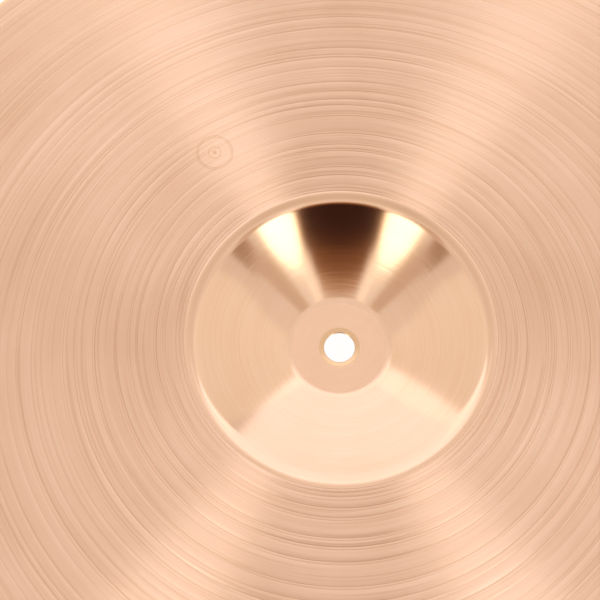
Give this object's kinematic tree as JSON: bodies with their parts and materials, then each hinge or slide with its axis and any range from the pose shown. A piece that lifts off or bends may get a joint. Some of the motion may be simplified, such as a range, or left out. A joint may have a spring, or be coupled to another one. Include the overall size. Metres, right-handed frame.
{
  "type": "crash cymbal",
  "caption": "Bronze crash cymbal: a thin lathed disc with a raised bell, a flat crown, a centre mounting hole, a sloping bow and a rounded rim.",
  "frame": {"origin": "centre of the mounting hole, halfway through the crown's metal", "axes": "+Z along the mounting hole's axis, out of the top of the bell, with the hollow side and the rim below; X and Y lie in the plane of the disc, with the rim about 46 mm below the origin"},
  "size_m": [0.4064, 0.4064, 0.0467],
  "materials": {
    "bronze": "cast bronze: bow lathed to a satin of irregular rings, bell burnished to a soft gloss, crown matt"
  },
  "bodies": {
    "root": {"cymbal": "bronze"}
  },
  "joints": []
}
